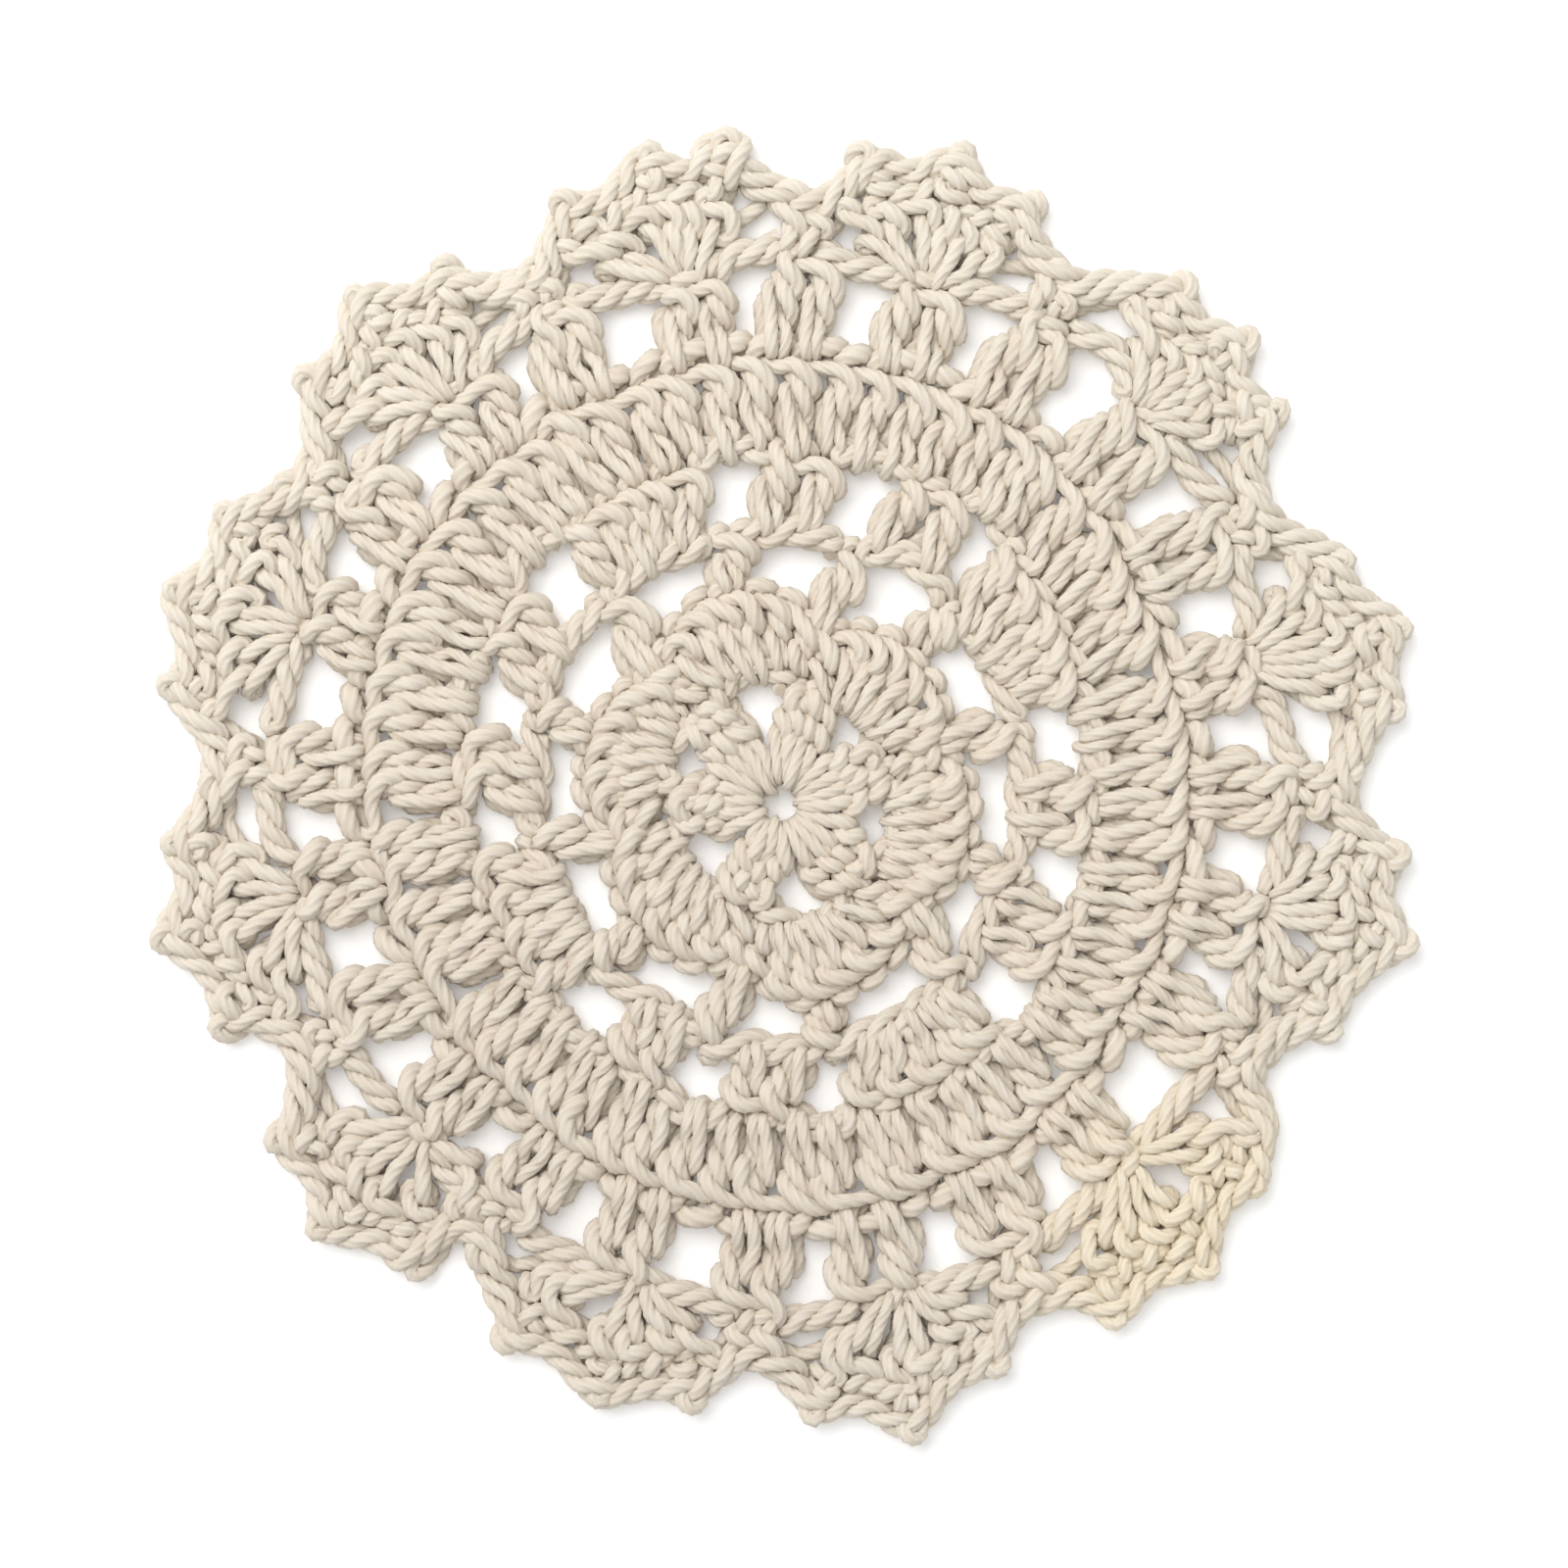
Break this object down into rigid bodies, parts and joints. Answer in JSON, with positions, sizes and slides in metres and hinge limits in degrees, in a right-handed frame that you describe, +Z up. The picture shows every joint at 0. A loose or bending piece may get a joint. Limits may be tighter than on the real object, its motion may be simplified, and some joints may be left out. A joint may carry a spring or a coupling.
{
  "type": "crochet coaster",
  "caption": "Round openwork crochet coaster in ecru cotton yarn, worked in rounds to a scalloped edge with picots; lies flat under a cup or as a small table mat.",
  "frame": {"origin": "Middle of the mat's bounding box, on the underside it lies on.", "axes": "+Z is up out of the right side of the stitches; +Y is the top of the picture and the mat's longer way; +X is the picture's right."},
  "size_m": [0.1286, 0.1342, 0.0034],
  "materials": {
    "cotton_yarn": "matt plied cotton yarn, ecru"
  },
  "bodies": {
    "root": {"coaster": "cotton_yarn"}
  },
  "joints": []
}
